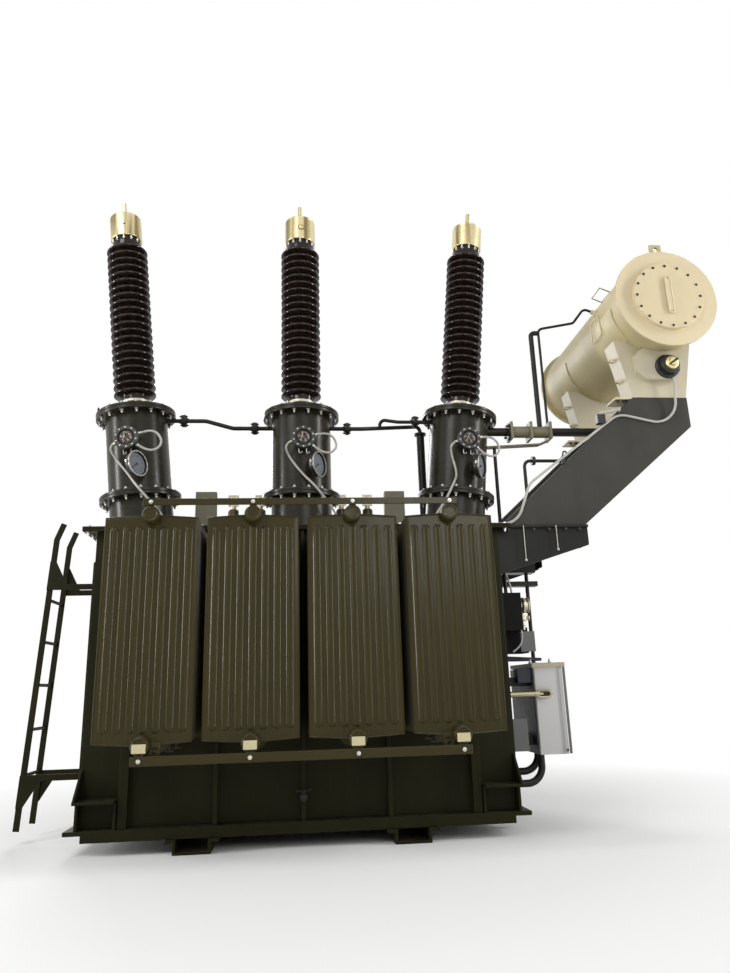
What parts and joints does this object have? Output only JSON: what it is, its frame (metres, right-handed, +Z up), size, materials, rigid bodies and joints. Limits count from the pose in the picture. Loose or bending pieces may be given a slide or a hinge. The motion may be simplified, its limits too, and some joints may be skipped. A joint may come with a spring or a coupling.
{
  "type": "power transformer",
  "caption": "Oil-filled power transformer: ribbed tank on skids with panel radiators, splayed high-voltage bushings on turrets, a side conservator, ladder and drive cabinet.",
  "frame": {"origin": "on the ground under the skids, below the middle of the tank and at the middle of the anchor bolts", "axes": "+X along the tank toward the conservator, +Y toward the low-voltage side at the back, +Z up"},
  "size_m": [4.91, 2.4712, 4.649],
  "materials": {
    "tank_paint": "dark olive-black enamel over welded plate",
    "radiator_paint": "dark olive-brown enamel",
    "turret_paint": "dark grey-brown satin enamel",
    "bracket_paint": "dark grey satin enamel",
    "pipe_paint": "near-black enamel",
    "conservator_paint": "cream-white enamel",
    "brown_porcelain": "glossy dark-brown glaze",
    "cap_metal": "pale gold machined aluminium",
    "ring_metal": "grey cast aluminium",
    "cabinet_paint": "light grey powder coat",
    "grey_conduit": "light grey flexible conduit",
    "yellow_zinc": "yellow-passivated zinc",
    "relay_paint": "grey-olive casting paint",
    "brass_fittings": "brass and tinned copper",
    "grey_box_paint": "mid grey enamel",
    "black_casing": "black instrument casing"
  },
  "bodies": {
    "root": {"bend_conduits": "pipe_paint", "bracket_front": "bracket_paint", "bracket_rear": "bracket_paint", "bracket_shelves": "bracket_paint", "bracket_ties": "bracket_paint", "bushing_caps": "cap_metal", "bushing_left": "brown_porcelain", "bushing_middle": "brown_porcelain", "bushing_right": "brown_porcelain", "bushing_rings": "ring_metal", "cabinet_arms": "pipe_paint", "cabinet_door": "cabinet_paint", "conservator_front_end": "conservator_paint", "conservator_pipes": "pipe_paint", "conservator_rear_end": "conservator_paint", "conservator_saddles": "conservator_paint", "conservator_shell": "conservator_paint", "cover_boxes": "grey_box_paint", "drain_valve": "pipe_paint", "drive_cabinet": "cabinet_paint", "drive_shaft": "pipe_paint", "end_wall_boxes": "pipe_paint", "gas_pipes": "pipe_paint", "gas_relay": "relay_paint", "gauge_conduit": "grey_conduit", "jacking_pads": "tank_paint", "ladder_brackets": "tank_paint", "ladder_rails": "tank_paint", "ladder_rungs": "tank_paint", "lv_bushings": "brown_porcelain", "lv_terminals": "brass_fittings", "oil_gauge": "black_casing", "radiator_front_1": "radiator_paint", "radiator_front_2": "radiator_paint", "radiator_front_3": "radiator_paint", "radiator_front_4": "radiator_paint", "radiator_rear_1": "radiator_paint", "radiator_rear_2": "radiator_paint", "radiator_rear_3": "radiator_paint", "radiator_rear_4": "radiator_paint", "radiator_tie_bars": "radiator_paint", "shaft_supports": "pipe_paint", "side_conduit": "yellow_zinc", "skids": "tank_paint", "tank_base": "tank_paint", "tank_cover": "tank_paint", "tank_front_wall": "tank_paint", "tank_left_wall": "tank_paint", "tank_rear_wall": "tank_paint", "tank_right_wall": "tank_paint", "turret_conduits": "grey_conduit", "turret_dials": "black_casing", "turret_left": "turret_paint", "turret_middle": "turret_paint", "turret_right": "turret_paint", "turret_terminal_boxes": "black_casing", "wall_instrument": "brass_fittings"}
  },
  "joints": []
}
